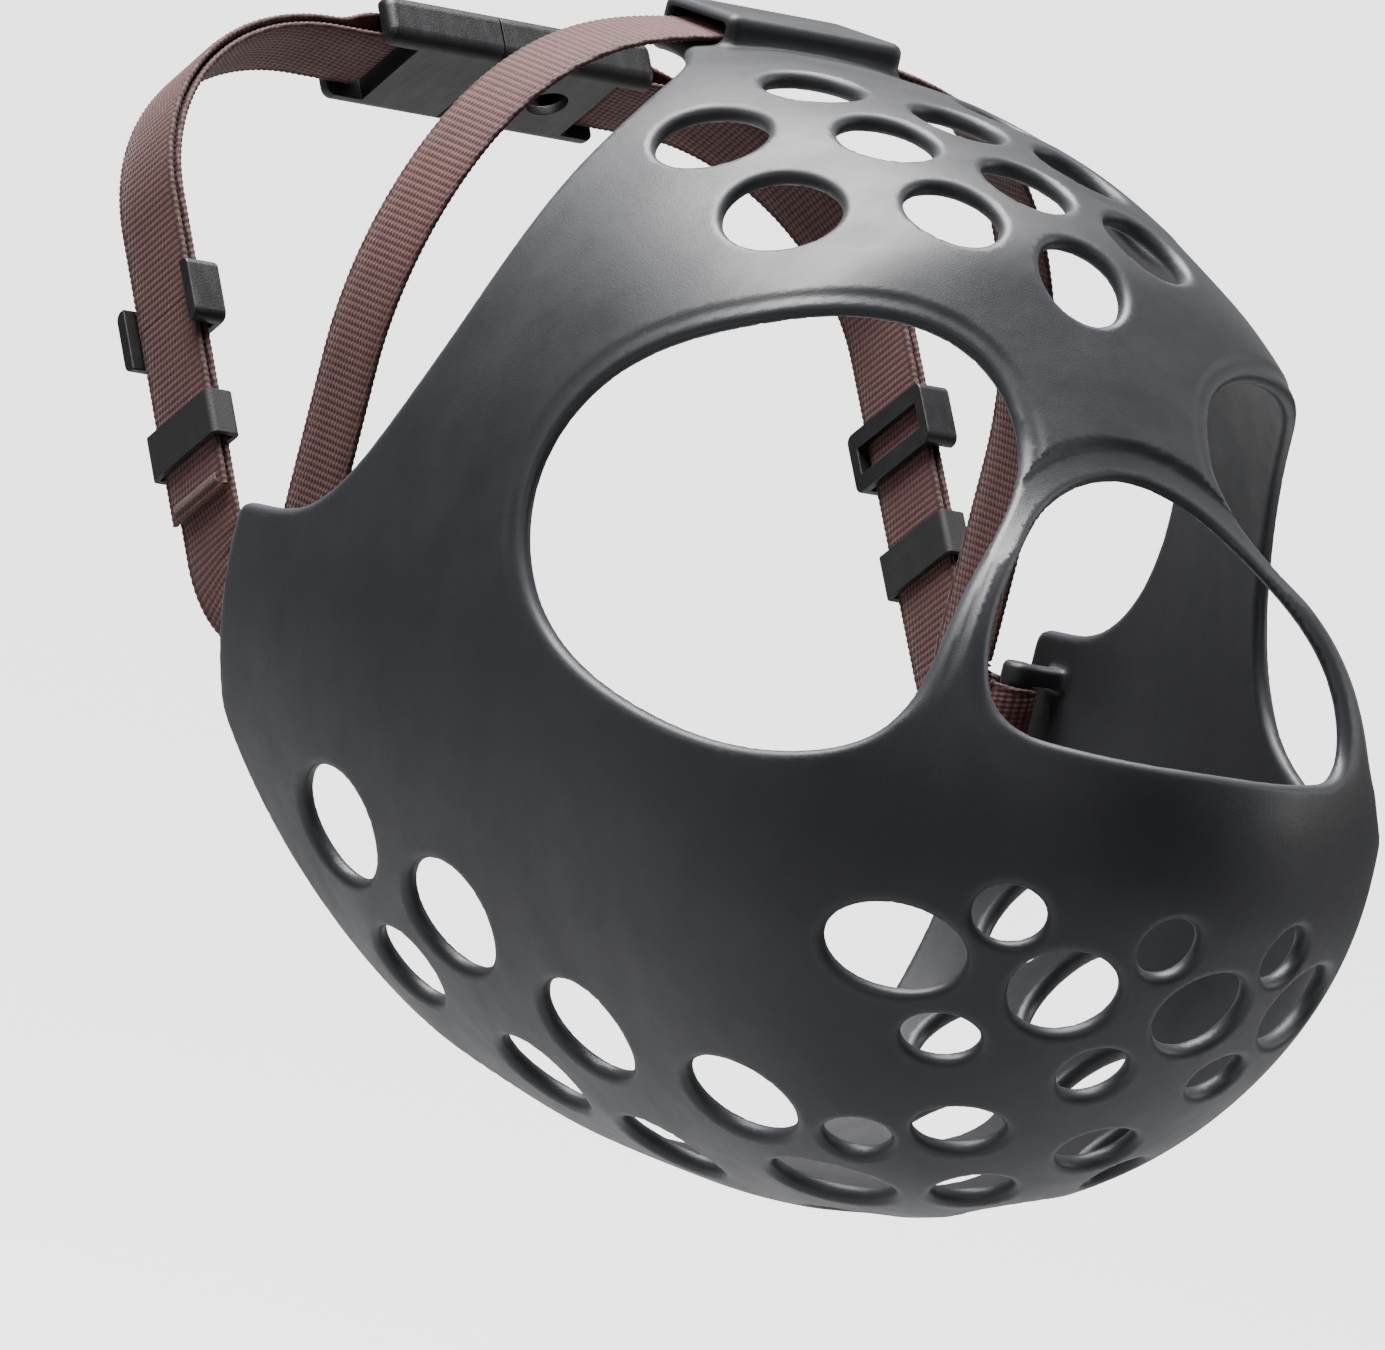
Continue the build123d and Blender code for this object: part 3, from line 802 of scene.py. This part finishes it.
def stitches(sign):
    """Zigzag bar tack over the webbing's loose end."""
    verts, faces = [], []
    for k in range(STITCHES):
        a0 = -TACK_HALF + 2 * TACK_HALF * k / STITCHES
        a1 = -TACK_HALF + 2 * TACK_HALF * (k + 1) / STITCHES
        v0, v1 = (TACK_LOW, TACK_HIGH) if k % 2 == 0 else (TACK_HIGH, TACK_LOW)
        base = len(verts)
        for i in range(STEPS):
            f = i / (STEPS - 1)
            across, v = a0 + (a1 - a0) * f, v0 + (v1 - v0) * f
            high = TACK_X + 0.32 * math.sin(math.pi * f) ** 0.6
            for j in range(SIDES):
                q = 2 * math.pi * j / SIDES
                point = (NECK_O + (high + YARN_R * math.cos(q)) * X_DIR + v * NECK_V
                         + (across + YARN_R * math.sin(q)) * NECK_N)
                verts.append(tuple(point * (sign, 1, 1) * MM))
        for i in range(STEPS - 1):
            row = base + i * SIDES
            for j in range(SIDES):
                j2 = (j + 1) % SIDES
                faces.append((row + j, row + j2, row + SIDES + j2, row + SIDES + j))
        faces.append(tuple(base + j for j in range(SIDES))[::-1])
        faces.append(tuple(base + (STEPS - 1) * SIDES + j for j in range(SIDES)))
    mesh = bpy.data.meshes.new("stitches")
    mesh.from_pydata(verts, [], faces)
    mesh.shade_smooth()
    return mesh


yarn = thread()
for sign, side in ((1, "left"), (-1, "right")):
    new_piece(f"bar_tack_{side}", stitches(sign), yarn, "basket", "thread",
              f"tail_stitching_{side}")


# ------------------------------------------------------------------------------ hardware
def refined(name, body, mat, slot, width):
    """The CAD solid's shape with every sharp edge broken."""
    work = bmesh.new()
    work.from_mesh(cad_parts[name].data)
    bmesh.ops.remove_doubles(work, verts=work.verts, dist=2e-6)
    bmesh.ops.dissolve_limit(work, angle_limit=math.radians(1.0), verts=work.verts,
                             edges=work.edges)
    mesh = bpy.data.meshes.new(name + "_finished")
    work.to_mesh(mesh)
    work.free()
    raw = bpy.data.objects.new(name + "_raw", mesh)
    bpy.context.scene.collection.objects.link(raw)
    edge = raw.modifiers.new("edge", "BEVEL")
    edge.width, edge.segments, edge.limit_method = width * MM, 3, "ANGLE"
    edge.angle_limit = math.radians(32)
    edge.harden_normals = False
    raw.modifiers.new("weighted", "WEIGHTED_NORMAL").keep_sharp = True
    for face in mesh.polygons:
        face.use_smooth = True
    done = bpy.data.meshes.new_from_object(
        raw.evaluated_get(bpy.context.evaluated_depsgraph_get()))
    done.materials.clear()
    bpy.data.objects.remove(raw)
    return new_piece(name + "_moulded", done, mat, body, slot, name)


acetal = moulded("acetal", (0.009, 0.009, 0.010), 0.42)
rubber = moulded("keeper_rubber", (0.012, 0.0115, 0.012), 0.60)
refined("buckle_housing", "basket", acetal, "acetal", 0.35)
refined("buckle_clip", "clip", acetal, "acetal", 0.35)
refined("clip_arm_upper", "arm_upper", acetal, "acetal", 0.3)
refined("clip_arm_lower", "arm_lower", acetal, "acetal", 0.3)
for side in ("left", "right"):
    refined(f"adjuster_{side}", f"adjuster_{side}", acetal, "acetal", 0.35)
    refined(f"keeper_{side}", f"keeper_{side}", rubber, "keeper", 0.35)

# ------------------------------------------------------------------------------- lights
def area(name, at, size, power):
    """A soft light that faces the object."""
    lamp = bpy.data.lights.new(name, "AREA")
    lamp.shape, lamp.size, lamp.size_y = "RECTANGLE", *size
    lamp.energy = power
    made = bpy.data.objects.new(name, lamp)
    bpy.context.scene.collection.objects.link(made)
    made.location = at
    made.rotation_mode = "QUATERNION"
    made.rotation_quaternion = (-Vector(at)).to_track_quat("-Z", "Y")


area("top", (-0.15, 0.45, 1.4), (1.5, 1.0), 135)
area("front", (-0.9, -1.9, 0.6), (0.8, 0.8), 5)
area("side", (-1.9, 0.3, 0.9), (0.7, 1.2), 5)
area("far", (1.7, -0.5, 0.6), (0.7, 1.0), 9)

world = bpy.data.worlds.new("studio")
bpy.context.scene.world = world
world.use_nodes = True
sky = world.node_tree.nodes["Background"].inputs
sky["Color"].default_value = (0.93, 0.94, 0.96, 1)
sky["Strength"].default_value = 0.14

FLOOR_HALF, FLOOR_Z = 30, -0.42
corners = [(x * FLOOR_HALF, y * FLOOR_HALF, FLOOR_Z) for x, y in ((-1, -1), (1, -1), (1, 1), (-1, 1))]
floor_mesh = bpy.data.meshes.new("floor")
floor_mesh.from_pydata(corners, [], [(0, 1, 2, 3)])
floor = bpy.data.objects.new("floor", floor_mesh)
bpy.context.scene.collection.objects.link(floor)
floor_mat, floor_tree, floor_bsdf = shader("floor", (0.86, 0.87, 0.88), 0.8)
floor_tree.links.new(
    mix(floor_tree, noise(floor_tree, coords(floor_tree), 3.0, 2), (0.30, 0.305, 0.31),
        (0.33, 0.33, 0.335)), floor_bsdf.inputs["Base Color"])
glow = node(floor_tree, "LightPath").outputs["Is Camera Ray"]
floor_bsdf.inputs["Emission Color"].default_value = (0.95, 0.96, 0.98, 1)
floor_tree.links.new(span(floor_tree, glow, 0, 2.9, 0, 1),
                     floor_bsdf.inputs["Emission Strength"])
floor_mesh.materials.append(floor_mat)
